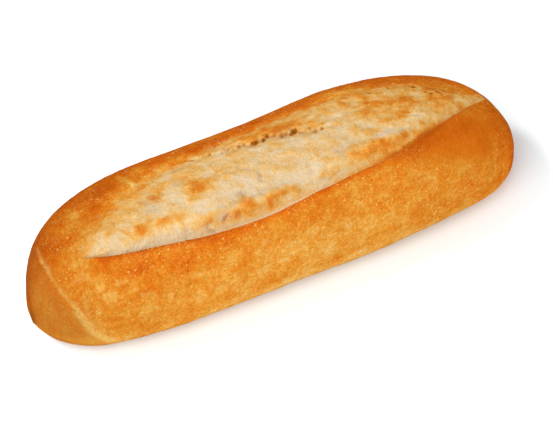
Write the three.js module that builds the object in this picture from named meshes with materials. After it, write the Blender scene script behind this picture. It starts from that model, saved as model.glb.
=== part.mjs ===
// A long crusty roll of the bolillo kind: one baked body, flat underneath, with a single lengthwise
// slash that burst open in the oven. Millimetres, +Z up. +X runs along the roll to its fuller end and
// -Y faces the side where the slash has its standing lip. The origin is the middle of the flat base.
import * as THREE from "three";

// Driving dimensions of the body
const rollLength = 180;
const rollWidth = 58;
const rollHeight = 43;
const baseCut = 0.5; // how much of the rounded underside the oven floor has flattened
const beltShare = 0.315; // height of the widest line, as a share of the roll's height
const tipShare = 0.45; // height of that line at the very tips, as a share of its height amidships
const upperPower = 2.6; // section above the widest line, fuller than an ellipse
const lowerPower = 2.8; // section below it, squarer where the dough settled
const widthTaper = 0.041; // the far half is a little wider than the near half
const sideBow = 1.5; // how far the middle bends to +Y
const nearEnd = { planPower: 4.86, planRound: 1.94, sidePower: 5, sideRound: 3.2 };
const farEnd = { planPower: 3.9, planRound: 2.19, sidePower: 2.41, sideRound: 2.77 };
const underEnd = { power: 12, round: 2.2 }; // the underside curls up only at the very ends

// The slash, seen from above: a lens between the standing lip in front and the rim behind.
// Each edge swings out to its peak and comes back to a tip at either end.
const frontLip = {
  peakX: -15,
  peakY: -20.6,
  near: { x: -76, y: -6, power: 2, round: 1.6 },
  far: { x: 83, y: 2, power: 2.2, round: 1.2 },
};
const backRim = {
  peakX: 25,
  peakY: 14.5,
  near: { x: -76, y: -6, power: 3.2, round: 1 },
  far: { x: 75, y: 2.2, power: 2.5, round: 1 },
};
const fullOpening = 14; // gap between the edges from which the burst has its full depth

// Relief of the burst, as heights above the smooth body
const lip = { height: 0.8, reach: 4.5, footWidth: 0.9 };
const groove = { depth: 1.8, reach: 3.6 }; // hollow behind the lip
const settling = { fromX: -35, toX: 45, share: 0.6 }; // lip and groove lose this share to the far end
const crownHeight = 0.9; // swell of the torn crumb
const rim = { depth: 0.7, reach: 3 };
const ridge = { offset: 6.2, height: 0.9, halfWidth: 1.7 }; // toasted ridge, parallel to the lip
const ridgeStretches = [
  { middle: -13, halfLength: 14 },
  { middle: 33, halfLength: 12 },
];
// The flap: crust that tore off the crumb along a slanting line and stands a little above it
const flap = { startX: -26, startY: 10.4, endX: 26, slope: -0.2, height: 0.35, depth: 1.1, reach: 2.6 };

// Broad bulges and hollows of the body, with their turn and half turn in degrees
const bulges = [
  { x: -3, turn: -50, height: -1.6, halfLength: 26, halfTurn: 45 }, // waist behind the slash
  { x: 30, turn: -45, height: 0.5, halfLength: 11, halfTurn: 30 },
  { x: -70, turn: -45, height: -0.5, halfLength: 10, halfTurn: 35 },
  { x: 52, turn: 105, height: -1.1, halfLength: 19, halfTurn: 35 }, // far end, low in front
  { x: -45, turn: 105, height: -0.4, halfLength: 35, halfTurn: 40 },
];

// Gentle unevenness of hand-shaped dough: waves along the roll and round it
const swells = [
  { height: 0.18, along: 1.7, around: 2, phase: 0.6 },
  { height: 0.14, along: 3.3, around: 3, phase: 2.1 },
  { height: 0.1, along: 5.9, around: 4, phase: 4.4 },
];

// Mesh density
const ringCount = 84;
const burstColumns = 18; // across the slash, from the rim to the foot of the lip
const crustColumns = 46; // the rest of the way round
const crustCrowding = 1.12; // draws the crust's columns towards the lip
const endCrowding = 0.88; // draws the rings towards both ends
const smallestBand = 0.2; // radians that the slash's columns still span past its tips
const widestAcross = 0.98; // edges stay within this share of the half width

const { clamp, euclideanModulo, radToDeg, smoothstep } = THREE.MathUtils;
const fullTurn = 2 * Math.PI;
const bell = (distance, reach) => Math.exp(-((distance / reach) ** 2));

// Sizes of the body's cross-section at a share of the half length, -1 to 1
function stationAt(share) {
  const end = share < 0 ? nearEnd : farEnd;
  const out = Math.abs(share);
  const plan = (1 - out ** end.planPower) ** (1 / end.planRound);
  const side = (1 - out ** end.sidePower) ** (1 / end.sideRound);
  const beltHeight = beltShare * rollHeight * (tipShare + (1 - tipShare) * side);
  return {
    x: (share * rollLength) / 2,
    middleY: sideBow * (1 - share * share),
    halfWidth: (rollWidth / 2) * plan * (1 + widthTaper * share),
    beltHeight,
    rise: rollHeight * (1 - beltShare) * side,
    drop: beltHeight * (1 - out ** underEnd.power) ** (1 / underEnd.round),
    fullness: side,
  };
}

// A point of the smooth cross-section. The turn is measured from the top, towards -Y.
function sectionPoint(station, turn) {
  const across = -Math.sin(turn);
  const up = Math.cos(turn);
  const power = up < 0 ? lowerPower : upperPower;
  const reach = (Math.abs(across) ** power + Math.abs(up) ** power) ** (-1 / power);
  const depth = up < 0 ? station.drop : station.rise;
  return {
    y: station.middleY + station.halfWidth * reach * across,
    z: station.beltHeight + depth * reach * up,
  };
}

// The turn at which the upper surface passes a given y
function turnAtY(station, y) {
  const across = clamp((y - station.middleY) / station.halfWidth, -widestAcross, widestAcross);
  const up = (1 - Math.abs(across) ** upperPower) ** (1 / upperPower);
  return Math.atan2(-across, up);
}

function edgeY(edge, x) {
  const side = x < edge.peakX ? edge.near : edge.far;
  const run = clamp((x - edge.peakX) / (side.x - edge.peakX), 0, 1);
  return side.y + (edge.peakY - side.y) * (1 - run ** side.power) ** (1 / side.round);
}

// Turns of one ring's columns, starting at the rim, crossing the slash and going round underneath
function columnTurns(station) {
  const lipTurn = turnAtY(station, edgeY(frontLip, station.x));
  const rimTurn = Math.min(turnAtY(station, edgeY(backRim, station.x)), lipTurn - smallestBand);
  const band = lipTurn - rimTurn;
  const lipPoint = sectionPoint(station, lipTurn);
  const radius = Math.hypot(lipPoint.y - station.middleY, lipPoint.z - station.beltHeight);
  const footTurn = lipTurn - Math.min(lip.footWidth / radius, band / burstColumns);
  const turns = [];
  for (let i = 0; i < burstColumns; i += 1) {
    turns.push(rimTurn + ((footTurn - rimTurn) * i) / (burstColumns - 1));
  }
  for (let i = 0; i < crustColumns; i += 1) {
    turns.push(lipTurn + (fullTurn - band) * (i / crustColumns) ** crustCrowding);
  }
  return { turns, lipPoint, rimPoint: sectionPoint(station, rimTurn) };
}

// Height of the surface above the smooth body, near and inside the slash
function burstRelief(station, ring, column) {
  const point = sectionPoint(station, ring.turns[column]);
  const fromLip = Math.hypot(point.y - ring.lipPoint.y, point.z - ring.lipPoint.z);
  const gap = edgeY(backRim, station.x) - edgeY(frontLip, station.x);
  const opening = smoothstep(gap, 0, fullOpening);
  const standing = 1 - settling.share * smoothstep(station.x, settling.fromX, settling.toX);
  if (column >= burstColumns) {
    return opening * standing * lip.height * bell(fromLip, lip.reach);
  }
  const fromRim = Math.hypot(point.y - ring.rimPoint.y, point.z - ring.rimPoint.z);
  const crossing = fromRim / (fromRim + fromLip);
  let height = crownHeight * Math.sin(Math.PI * crossing);
  height -= standing * groove.depth * bell(fromLip - lip.footWidth, groove.reach);
  height -= rim.depth * bell(fromRim, rim.reach);
  for (const stretch of ridgeStretches) {
    const along = bell(station.x - stretch.middle, stretch.halfLength);
    height += ridge.height * along * bell(fromLip - ridge.offset, ridge.halfWidth);
  }
  return opening * (height + flapRelief(station.x, point.y));
}

function flapRelief(x, y) {
  const inside = smoothstep(x, flap.startX - flap.reach, flap.startX + flap.reach);
  const fade = inside * (1 - smoothstep(x, flap.endX - 2 * flap.reach, flap.endX));
  const beyond = y - (flap.startY + flap.slope * (x - flap.startX));
  return fade * (beyond > 0 ? flap.height : -flap.depth * bell(beyond, flap.reach));
}

function unevenness(station, turn) {
  const share = station.x / rollLength;
  let height = 0;
  for (const swell of swells) {
    const wave = Math.sin(fullTurn * swell.along * share + swell.phase);
    height += swell.height * wave * Math.cos(swell.around * turn + swell.phase);
  }
  height *= station.fullness;
  for (const bulge of bulges) {
    const aside = euclideanModulo(radToDeg(turn) - bulge.turn + 180, 360) - 180;
    height += bulge.height * bell(station.x - bulge.x, bulge.halfLength) * bell(aside, bulge.halfTurn);
  }
  return height;
}

// Closed body: a pole at each end and rings of columns between them
function rollGeometry() {
  const columnCount = burstColumns + crustColumns;
  const positions = [-rollLength / 2, 0, stationAt(-1).beltHeight];
  const heights = [0];
  for (let i = 1; i < ringCount; i += 1) {
    const sweep = i / ringCount;
    const crowded = -Math.cos(Math.PI * sweep);
    const station = stationAt(endCrowding * crowded + (1 - endCrowding) * (2 * sweep - 1));
    const ring = columnTurns(station);
    ring.turns.forEach((turn, column) => {
      const point = sectionPoint(station, turn);
      positions.push(station.x, point.y, point.z);
      heights.push(burstRelief(station, ring, column) + unevenness(station, turn));
    });
  }
  positions.push(rollLength / 2, 0, stationAt(1).beltHeight);
  heights.push(0);

  const faces = [];
  const farPole = positions.length / 3 - 1;
  const lastRing = farPole - columnCount;
  for (let column = 0; column < columnCount; column += 1) {
    const next = (column + 1) % columnCount;
    faces.push(0, 1 + next, 1 + column);
    faces.push(farPole, lastRing + column, lastRing + next);
    for (let start = 1; start < lastRing; start += columnCount) {
      const beyond = start + columnCount;
      faces.push(start + column, start + next, beyond + next);
      faces.push(start + column, beyond + next, beyond + column);
    }
  }

  const geometry = new THREE.BufferGeometry();
  geometry.setAttribute("position", new THREE.Float32BufferAttribute(positions, 3));
  geometry.setIndex(faces);
  geometry.computeVertexNormals();
  raiseRelief(geometry, heights);
  flattenBase(geometry);
  centreOnBase(geometry);
  return geometry;
}

function raiseRelief(geometry, heights) {
  const { position, normal } = geometry.attributes;
  const point = new THREE.Vector3();
  const outward = new THREE.Vector3();
  heights.forEach((height, i) => {
    point.fromBufferAttribute(position, i);
    outward.fromBufferAttribute(normal, i);
    point.addScaledVector(outward, height);
    position.setXYZ(i, point.x, point.y, point.z);
  });
}

function flattenBase(geometry) {
  const { position } = geometry.attributes;
  for (let i = 0; i < position.count; i += 1) {
    position.setZ(i, Math.max(position.getZ(i), baseCut));
  }
}

function centreOnBase(geometry) {
  geometry.computeBoundingBox();
  const { min, max } = geometry.boundingBox;
  geometry.translate(-(min.x + max.x) / 2, -(min.y + max.y) / 2, -min.z);
  geometry.computeVertexNormals();
}

const crust = new THREE.MeshStandardMaterial({ color: 0xdf8a35, roughness: 0.62, metalness: 0 });

const roll = new THREE.Mesh(rollGeometry(), crust);
roll.name = "roll";

const group = new THREE.Group();
group.add(roll);

export default group;
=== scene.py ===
import math

import bpy
import numpy as np
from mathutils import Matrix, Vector, noise


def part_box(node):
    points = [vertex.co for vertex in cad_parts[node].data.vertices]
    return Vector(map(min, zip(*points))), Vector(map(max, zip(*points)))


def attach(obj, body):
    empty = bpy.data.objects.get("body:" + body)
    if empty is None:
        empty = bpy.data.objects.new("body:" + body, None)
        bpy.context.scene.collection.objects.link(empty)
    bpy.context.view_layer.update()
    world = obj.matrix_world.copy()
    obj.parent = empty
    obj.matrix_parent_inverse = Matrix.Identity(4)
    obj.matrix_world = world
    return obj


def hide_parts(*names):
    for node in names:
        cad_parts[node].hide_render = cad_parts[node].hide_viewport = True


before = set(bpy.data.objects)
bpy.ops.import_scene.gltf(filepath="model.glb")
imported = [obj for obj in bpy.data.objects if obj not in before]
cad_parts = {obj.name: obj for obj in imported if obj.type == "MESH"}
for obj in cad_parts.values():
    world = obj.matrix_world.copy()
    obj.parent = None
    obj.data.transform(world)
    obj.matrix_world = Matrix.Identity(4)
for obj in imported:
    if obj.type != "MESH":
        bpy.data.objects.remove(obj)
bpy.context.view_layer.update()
print("frame loaded")

# the roll is worked out in millimetres and put down in metres
mm = 0.001
rollLow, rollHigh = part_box("roll")

# the baked body, the same form as the solid it stands for
body = {
    "length": (rollHigh[0] - rollLow[0]) / mm,
    "width": 58.0,
    "height": 43.0,
    # what the flat base cuts off
    "baseCut": 0.5,
    "beltShare": 0.315,
    "tipShare": 0.45,
    "upperPower": 2.6,
    "lowerPower": 2.8,
    "widthTaper": 0.041,
    "sideBow": 1.5,
    "underPower": 12.0,
    "underRound": 2.2,
    # plan power, plan round, side power, side round of either end
    "nearEnd": (4.86, 1.94, 5, 3.2),
    "farEnd": (3.9, 2.19, 2.41, 2.77),
    "rings": 430,
    "burstColumns": 88,
    "crustColumns": 130,
    # rings crowd towards the ends, columns of crust towards the slash
    "ringCrowding": 0.45,
    "columnCrowding": 0.3,
}

# the slash: each edge is (x, y, power, round) for its tips and (x, y) for its peak
slash = {
    "lipPeak": (-15, -20.6),
    "lipNear": (-76, -6, 2, 1.6),
    "lipFar": (83, 2, 2.2, 1.2),
    "rimPeak": (25, 14.5),
    "rimNear": (-76, -6, 3.2, 1),
    "rimFar": (75, 2.2, 2.5, 1),
    # where the lip bends off its smooth line: x, half length, shift
    "lipBends": ((-66, 7, -0.4), (-50, 6, 0.25), (-25, 30, 0.35), (6, 12, 0.75), (40, 12, -1.1)),
    # how uneven the edges are: size, height, seed
    "lipWobble": (9, 0.15, 3.7),
    "rimWobble": (11, 0.8, 8.2),
    "fullOpening": 14.0,
    "smallestBand": 0.2,
    "footWidth": 0.35,
    "lipHeight": 0.8,
    "lipReach": 4.5,
    "edgeHeight": 0.22,
    "edgeReach": 0.7,
    "grooveDepth": 1.8,
    "grooveReach": 3.6,
    # lip and groove lose this share of their height from one x to the other
    "settling": (-35, 45, 0.6),
    "crownHeight": 0.9,
    "rimDepth": 0.5,
    "rimReach": 4.0,
    # the rim loses these shares of its depth
    "rimSettling": ((10, 40, 0.7), (-38, -50, 0.85)),
    "ridgeOffset": 6.2,
    "ridgeHeight": 0.9,
    "ridgeHalfWidth": 1.7,
    # middle, half length and share of the stretches where the ridge stands
    "ridgeStretches": ((-13, 14, 1), (33, 12, 1)),
}

# crust that tore off the crumb along a slanting line
flap = {
    "startX": -26.0,
    "startY": 10.4,
    "slope": -0.2,
    # x where it starts, where it is full from and to, and where it ends
    "stretch": (-27.6, -24.4, 17.2, 30),
    "height": 0.3,
    "depth": 0.45,
    "reach": 1.6,
    "step": 0.7,
    # size, height, seed
    "wobble": (3.5, 0.5, 6.6),
    # x, half length, shift of the bend in its edge
    "bend": ((1.5, 3, -1.5),),
}

# slow waves of hand-shaped dough: height, waves along, waves round, phase
swells = ((0.18, 1.7, 2, 0.6), (0.14, 3.3, 3, 2.1), (0.1, 5.9, 4, 4.4))

# broad bulges and hollows of the body: x, turn in degrees, height, half length, half turn
bulges = (
    (-3, -50, -1.6, 26, 45),
    (30, -45, 0.5, 11, 30),
    (-70, -45, -0.1, 10, 35),
    (52, 105, -1.1, 19, 35),
    (-45, 105, -0.4, 35, 40),
)


def smoothStep(value, low, high):
    share = np.clip((value - low) / (high - low), 0.0, 1.0)
    return share * share * (3 - 2 * share)


def stretch(value, start, fullFrom, fullTo, end):
    # 0 before the start and after the end, 1 where it is full
    return smoothStep(value, start, fullFrom) * (1 - smoothStep(value, fullTo, end))


def bell(distance, reach):
    return np.exp(-((distance / reach) ** 2))


def steps(value, rows):
    # each row: from, to, amount gained on the way
    return sum(amount * smoothStep(value, low, high) for low, high, amount in rows)


def bells(value, rows):
    # each row: middle, reach, height
    return sum(height * bell(value - middle, reach) for middle, reach, height in rows)


def spotSum(spots, along, across):
    # each spot: place along and across, half length, half width, strength
    total = np.zeros_like(along)
    for spotAlong, spotAcross, halfLength, halfWidth, strength in spots:
        spot = bell(along - spotAlong, halfLength) * bell(across - spotAcross, halfWidth)
        total += strength * spot
    return total


def noiseField(points, size, octaves=3, seed=0.0):
    # fractal noise of about -1 to 1, its size a number or one for each axis
    scaled = points / np.array(size) + seed
    return np.array([noise.fractal(Vector(p), 1.0, 2.0, octaves) for p in scaled])


def station(share):
    # sizes of the cross-section at a share of the half length, -1 to 1
    out = np.abs(share)
    near, far = body["nearEnd"], body["farEnd"]
    planPower, planRound, sidePower, sideRound = [
        np.where(share < 0, a, b) for a, b in zip(near, far)
    ]
    plan = np.maximum(1 - out**planPower, 0) ** (1 / planRound)
    side = np.maximum(1 - out**sidePower, 0) ** (1 / sideRound)
    under = np.maximum(1 - out ** body["underPower"], 0) ** (1 / body["underRound"])
    belt = body["beltShare"] * body["height"] * (body["tipShare"] + (1 - body["tipShare"]) * side)
    return {
        "x": share * body["length"] / 2,
        "middleY": body["sideBow"] * (1 - share**2),
        "halfWidth": body["width"] / 2 * plan * (1 + body["widthTaper"] * share),
        "belt": belt,
        "rise": body["height"] * (1 - body["beltShare"]) * side,
        "drop": belt * under,
        "fullness": side,
    }


def sectionPoint(at, turn):
    # a point of the smooth cross-section; the turn goes from the top towards -Y
    across, up = -np.sin(turn), np.cos(turn)
    power = np.where(up < 0, body["lowerPower"], body["upperPower"])
    reach = (np.abs(across) ** power + np.abs(up) ** power) ** (-1 / power)
    depth = np.where(up < 0, at["drop"], at["rise"])
    return at["middleY"] + at["halfWidth"] * reach * across, at["belt"] + depth * reach * up


def turnAtY(at, y):
    across = np.clip((y - at["middleY"]) / np.maximum(at["halfWidth"], 1e-6), -0.98, 0.98)
    up = (1 - np.abs(across) ** body["upperPower"]) ** (1 / body["upperPower"])
    return np.arctan2(-across, up)


def edgeY(x, peak, near, far):
    tipX, tipY, power, roundness = [np.where(x < peak[0], a, b) for a, b in zip(near, far)]
    run = np.clip((x - peak[0]) / (tipX - peak[0]), 0, 1)
    return tipY + (peak[1] - tipY) * (1 - run**power) ** (1 / roundness)


def wobble(x, size, height, seed):
    # small irregularity along an edge
    line = np.stack([x, np.zeros_like(x), np.zeros_like(x)], 1)
    return height * noiseField(line, size, 4, seed)


def lipY(x):
    line = edgeY(x, slash["lipPeak"], slash["lipNear"], slash["lipFar"])
    return line + bells(x, slash["lipBends"]) + wobble(x, *slash["lipWobble"])


def rimY(x):
    line = edgeY(x, slash["rimPeak"], slash["rimNear"], slash["rimFar"])
    return line + wobble(x, *slash["rimWobble"])


def deselectAll():
    for each in bpy.context.selected_objects:
        each.select_set(False)


# the body starts as a ball with its poles turned to the two ends
deselectAll()
columnCount = body["burstColumns"] + body["crustColumns"]
bpy.ops.mesh.primitive_uv_sphere_add(
    segments=columnCount, ring_count=body["rings"], radius=body["height"] / 2 * mm
)
roll = bpy.context.object
roll.name = "bakedRoll"
roll.rotation_euler = (0, math.radians(90), 0)
bpy.ops.object.transform_apply(location=True, rotation=True, scale=True)
mesh = roll.data
print("ball with", len(mesh.vertices), "points")


def readPoints():
    flat = np.empty(len(mesh.vertices) * 3, np.float32)
    mesh.vertices.foreach_get("co", flat)
    return flat.reshape(-1, 3).astype(float)


def writePoints(points):
    mesh.vertices.foreach_set("co", points.astype(np.float32).ravel())
    mesh.update()


def readNormals():
    flat = np.empty(len(mesh.vertices) * 3, np.float32)
    mesh.vertex_normals.foreach_get("vector", flat)
    return flat.reshape(-1, 3).astype(float)


# every point's ring and column on the ball say where it goes on the roll
ball = readPoints()
sweep = np.arccos(np.clip(-ball[:, 0] / np.linalg.norm(ball, axis=1), -1, 1)) / math.pi
ring = np.rint(sweep * body["rings"])
angle = np.arctan2(-ball[:, 1], ball[:, 2]) / (2 * math.pi) % 1.0
column = np.floor(angle * columnCount)
atPole = (ring == 0) | (ring == body["rings"])

evenly = 2 * ring / body["rings"] - 1
crowded = -np.cos(math.pi * ring / body["rings"])
share = (1 - body["ringCrowding"]) * evenly + body["ringCrowding"] * crowded
here = station(share)
x = here["x"]

ringX = np.unique(x)
ringLip = dict(zip(ringX, lipY(ringX)))
ringRim = dict(zip(ringX, rimY(ringX)))
lipLine = np.array([ringLip[v] for v in x])
rimLine = np.array([ringRim[v] for v in x])

lipTurn = turnAtY(here, lipLine)
rimTurn = np.minimum(turnAtY(here, rimLine), lipTurn - slash["smallestBand"])
band = lipTurn - rimTurn
lipPointY, lipPointZ = sectionPoint(here, lipTurn)
rimPointY, rimPointZ = sectionPoint(here, rimTurn)
lipRadius = np.hypot(lipPointY - here["middleY"], lipPointZ - here["belt"])
# the foot of the lip is no wider than a twentieth of the band
footTurn = lipTurn - np.minimum(slash["footWidth"] / np.maximum(lipRadius, 0.1), band / 20)

inBurst = column < body["burstColumns"]
burstShare = column / (body["burstColumns"] - 1)
crustShare = (column - body["burstColumns"]) / body["crustColumns"]
crustShare -= body["columnCrowding"] * np.sin(2 * math.pi * crustShare) / (2 * math.pi)
turn = np.where(
    inBurst,
    rimTurn + (footTurn - rimTurn) * burstShare,
    lipTurn + (2 * math.pi - band) * crustShare,
)
y, z = sectionPoint(here, turn)
y = np.where(atPole, 0.0, y)
z = np.where(atPole, here["belt"], z)
smooth = np.stack([x, y, z], 1)
writePoints(smooth * mm)
outward = readNormals()
turnDegrees = (np.degrees(turn) + 180) % 360 - 180
print("body shaped")

# the slash: lip, groove, swollen crumb, ridge and flap
fromLip = np.hypot(y - lipPointY, z - lipPointZ)
fromRim = np.hypot(y - rimPointY, z - rimPointZ)
opening = smoothStep(rimLine - lipLine, 0, slash["fullOpening"])
# 0 at the rim, 1 at the lip
crossing = fromRim / np.maximum(fromRim + fromLip, 1e-6)

settleFrom, settleTo, settleShare = slash["settling"]
standing = 1 - settleShare * smoothStep(x, settleFrom, settleTo)
groove = slash["grooveDepth"] * standing * bell(fromLip - slash["footWidth"], slash["grooveReach"])
burst = slash["crownHeight"] * np.sin(math.pi * crossing) - groove
rimHere = slash["rimDepth"] * bell(fromRim, slash["rimReach"])
for fromX, toX, lost in slash["rimSettling"]:
    rimHere *= 1 - lost * smoothStep(x, fromX, toX)
burst -= rimHere
ridgeHere = bells(x, slash["ridgeStretches"])
ridgeHere *= bell(fromLip - slash["ridgeOffset"], slash["ridgeHalfWidth"])
burst += slash["ridgeHeight"] * ridgeHere

flapFade = stretch(x, *flap["stretch"])
beyondFlap = y - (flap["startY"] + flap["slope"] * (x - flap["startX"]))
beyondFlap += wobble(x, *flap["wobble"]) + bells(x, flap["bend"])
onFlap = smoothStep(beyondFlap, -flap["step"], flap["step"])
belowFlap = -flap["depth"] * bell(np.minimum(beyondFlap, 0), flap["reach"])
burst += flapFade * (onFlap * flap["height"] + (1 - onFlap) * belowFlap)
standingLip = slash["lipHeight"] * standing * bell(fromLip, slash["lipReach"])
standingLip += slash["edgeHeight"] * bell(fromLip, slash["edgeReach"])
relief = opening * np.where(inBurst, burst, standingLip)

for height, along, around, phase in swells:
    wave = np.sin(2 * math.pi * along * x / body["length"] + phase)
    relief += height * wave * np.cos(around * turn + phase) * here["fullness"]
for middle, middleTurn, height, halfLength, halfTurn in bulges:
    aside = (np.degrees(turn) - middleTurn + 180) % 360 - 180
    relief += height * bell(x - middle, halfLength) * bell(aside, halfTurn)
relief[atPole] = 0
raised = smooth + outward * relief[:, None]
# the middle of the box goes over the origin, and the base cut to the ground
shift = -(raised.min(0) + raised.max(0)) / 2
shift[2] = -body["baseCut"]

# fine relief: torn crumb with holes and strands, uneven crust, and the seam round the near end
crumb = {
    "lumpSize": (7, 3.2, 5),
    "lumpHeight": 0.3,
    "grainSize": (2.6, 1.5, 2),
    "grainHeight": 0.14,
    "toastHeight": 0.35,
    "greyDepth": 0.3,
    "poreDepth": 0.7,
    # the relief fades out this near the rim and the lip
    "rimFade": 3.2,
    "lipFade": 2.0,
    # spots have warped outlines, and those of holes are warped half as much
    "warpSize": 2.2,
    "warp": 0.9,
    "poreWarp": 0.5,
    "spotSpread": 1.6,
    # the share of the painted grey shade that browning hides
    "hollowShadeHidden": 0.5,
}
# browned spots of the crumb: x, y, half length, half width, strength
toastSpots = (
    (-68.5, -9.8, 2.2, 1.2, 0.5),
    (-63, -7.2, 3.2, 1.6, 0.45),
    (-61.5, -3.7, 3, 1.5, 0.52),
    (-61, -11.4, 3.2, 1.5, 0.55),
    (-60, -11, 4, 1.6, 0.42),
    (-55.7, -10.7, 3.4, 2.2, 0.35),
    (-55.3, -10, 7, 2.6, 0.55),
    (-55.2, -0.9, 6, 2, 0.4),
    (-54.8, -10, 2.6, 1.7, 0.84),
    (-53.3, -2.6, 2, 1, 0.35),
    (-52, -6.8, 1.8, 1.2, 0.4),
    (-51.9, 3.3, 3.5, 1.8, 0.4),
    (-51.3, -7.5, 2.5, 1.5, 0.3),
    (-47.2, 2.2, 7, 2.8, 0.5),
    (-46.9, -10.8, 2.8, 1.2, 0.78),
    (-44.6, -1, 2.2, 1.6, 0.92),
    (-44.4, -11.3, 7, 1.8, 0.6),
    (-43.4, -13.4, 1.8, 0.9, 0.3),
    (-42.6, -4.4, 2, 2.4, 0.42),
    (-41.9, -11.7, 2.4, 1.3, 0.66),
    (-41.8, 1, 2.2, 1.4, 0.35),
    (-36.6, -12.6, 1.8, 0.9, 0.5),
    (-34.2, 3.2, 8, 2.4, 0.54),
    (-33.2, 3.7, 2.5, 1, 0.4),
    (-32.2, -15.7, 2.2, 1, 0.8),
    (-31.5, -7.5, 3.4, 1.5, 0.72),
    (-31.2, -14.8, 6.5, 1.2, 0.5),
    (-30.6, -4.1, 2.8, 2.4, 0.96),
    (-30.4, -3.8, 6.2, 3.8, 0.58),
    (-27.5, 4.6, 3, 1.5, 0.55),
    (-25.4, -3.3, 3, 2, 0.64),
    (-25.2, -16.3, 1.8, 1.1, 0.78),
    (-23.6, 7.3, 1.5, 2.4, 0.48),
    (-22.7, -16.5, 1.8, 1.2, 0.8),
    (-21.9, -2.8, 3, 2.2, 0.6),
    (-20.3, -16.4, 1.8, 1.2, 0.7),
    (-19.5, 9.4, 1, 0.8, 0.75),
    (-18.4, -15, 2.4, 1.5, 0.8),
    (-17.1, 2.8, 6, 2.6, 0.3),
    (-16.8, -16.4, 1.7, 1.1, 0.75),
    (-16.1, -17.2, 3.5, 1, 0.6),
    (-15.4, -16.9, 13, 1.8, 0.6),
    (-11.8, -16.9, 2.6, 1.2, 0.74),
    (-11, 12, 1.5, 0.9, 0.5),
    (-9.5, -16.4, 1.8, 1.1, 0.7),
    (-9, -4, 6, 3, 0.28),
    (-8.2, 0.7, 16, 2.6, 0.34),
    (-8, -10, 5, 2.2, 0.3),
    (-5.4, -15.8, 2.4, 1.2, 0.74),
    (-3.6, 8.2, 3.5, 1.2, 0.9),
    (-2.7, -16.1, 2.2, 1.1, 0.74),
    (-1.8, -17.3, 3, 0.9, 0.55),
    (-1.6, -7.6, 3, 3.2, 0.42),
    (0.5, 9.4, 3, 1.1, 1),
    (0.7, 7.7, 3.5, 1.5, 0.95),
    (2.8, 6.6, 2, 0.8, 0.6),
    (6.1, 7.2, 4.2, 1.6, 1),
    (7.5, 1.8, 3, 1.4, 0.4),
    (8, -3, 1.6, 4, 0.33),
    (9, 9.3, 7, 1, 0.7),
    (9.5, 7, 1.6, 1.2, 0.95),
    (9.6, -6.7, 2, 1.5, 0.25),
    (11, -15, 1.6, 1.4, 0.6),
    (11.8, 3.1, 9, 2, 0.4),
    (12.1, -11, 2, 1, 0.3),
    (13, 5.2, 2.5, 1, 0.25),
    (13.4, -14.9, 2.4, 0.8, 0.5),
    (13.5, -15.6, 2.5, 1, 0.6),
    (14.9, 9.9, 1.2, 0.8, 0.45),
    (15, 1, 2.5, 2, 0.4),
    (16.5, 8.8, 3.5, 1, 0.65),
    (17.5, -5, 3, 2, 0.32),
    (18.5, -15.2, 2, 0.8, 0.5),
    (18.5, -6.8, 1.5, 1.2, 0.25),
    (23.4, -12.7, 1.8, 1.1, 0.85),
    (25, -2.6, 2.5, 2, 0.15),
    (25.1, -13.1, 2, 1.2, 0.65),
    (25.5, -11.6, 1.6, 1, 0.7),
    (27.5, 5.8, 2.5, 1.3, 0.5),
    (28.4, -12.6, 2, 1.2, 0.7),
    (29.9, -12.3, 2.8, 1.5, 1),
    (30.5, 8.6, 1.6, 2.6, 0.86),
    (32.5, -13.1, 12, 2.4, 0.78),
    (32.5, -7, 3.5, 1.2, 0.55),
    (32.5, 10, 1, 1, 0.6),
    (33.9, 4.8, 2.6, 1.7, 0.7),
    (34, -12.7, 3, 1.4, 0.95),
    (35.9, 2.5, 3.2, 2.6, 0.72),
    (36, -12.8, 1.3, 1, 0.75),
    (36.8, 5.4, 2, 1.5, 0.95),
    (38, 7.7, 1.8, 2.2, 0.86),
    (39.8, -12.8, 2, 1, 0.5),
    (40, -6.8, 3, 1, 0.4),
    (40, -2, 1.6, 1.2, 0.5),
    (40.4, 3.4, 4.6, 1.6, 0.95),
    (40.4, 3.9, 2.2, 1.2, 0.75),
    (40.5, -4.5, 6, 1.5, 0.55),
    (42.6, -11.6, 2.2, 1.1, 0.8),
    (43.1, -3.5, 3, 0.9, 0.5),
    (43.9, -12.1, 1.5, 1, 0.75),
    (44, -13, 1.5, 1, 0.7),
    (45, 2.2, 2.8, 1.6, 0.95),
    (45.4, 1.6, 11, 4.2, 0.72),
    (46.5, -3.2, 3.2, 1.6, 0.85),
    (46.8, -11, 2, 1.2, 0.8),
    (48, -3.3, 2, 0.8, 0.45),
    (48.5, 8, 1.5, 2, 0.5),
    (50.1, 2.1, 3.4, 2.2, 0.86),
    (50.8, -8.9, 0.8, 1.6, 0.75),
    (51.6, 4.3, 1.3, 1, 0.65),
    (51.8, -7.9, 9, 1.6, 0.44),
    (52.5, -4.4, 3, 1.2, 0.4),
    (53.8, 7.7, 2.5, 1.3, 0.4),
    (55.3, -9.5, 2, 0.8, 0.6),
    (55.7, 7.1, 5, 1.6, 0.6),
    (59.8, -4.8, 3, 0.9, 0.35),
    (60, 4.4, 3, 1, 0.6),
    (60.4, 0.1, 2.6, 1.7, 0.88),
    (61.7, -3, 4, 2.6, 0.8),
    (62.5, 6, 2.5, 1.6, 0.9),
    (62.8, -7, 3, 1.2, 0.65),
    (62.9, 0.5, 6, 3.2, 0.76),
    (64.1, -2.4, 1.2, 0.8, 0.6),
    (64.7, -0.2, 3.4, 1.6, 0.8),
    (69.6, -3.6, 2, 2.2, 0.75),
    (70.2, 3, 2.6, 1.6, 0.9),
    (70.6, -1, 1.8, 3, 0.45),
)
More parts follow.
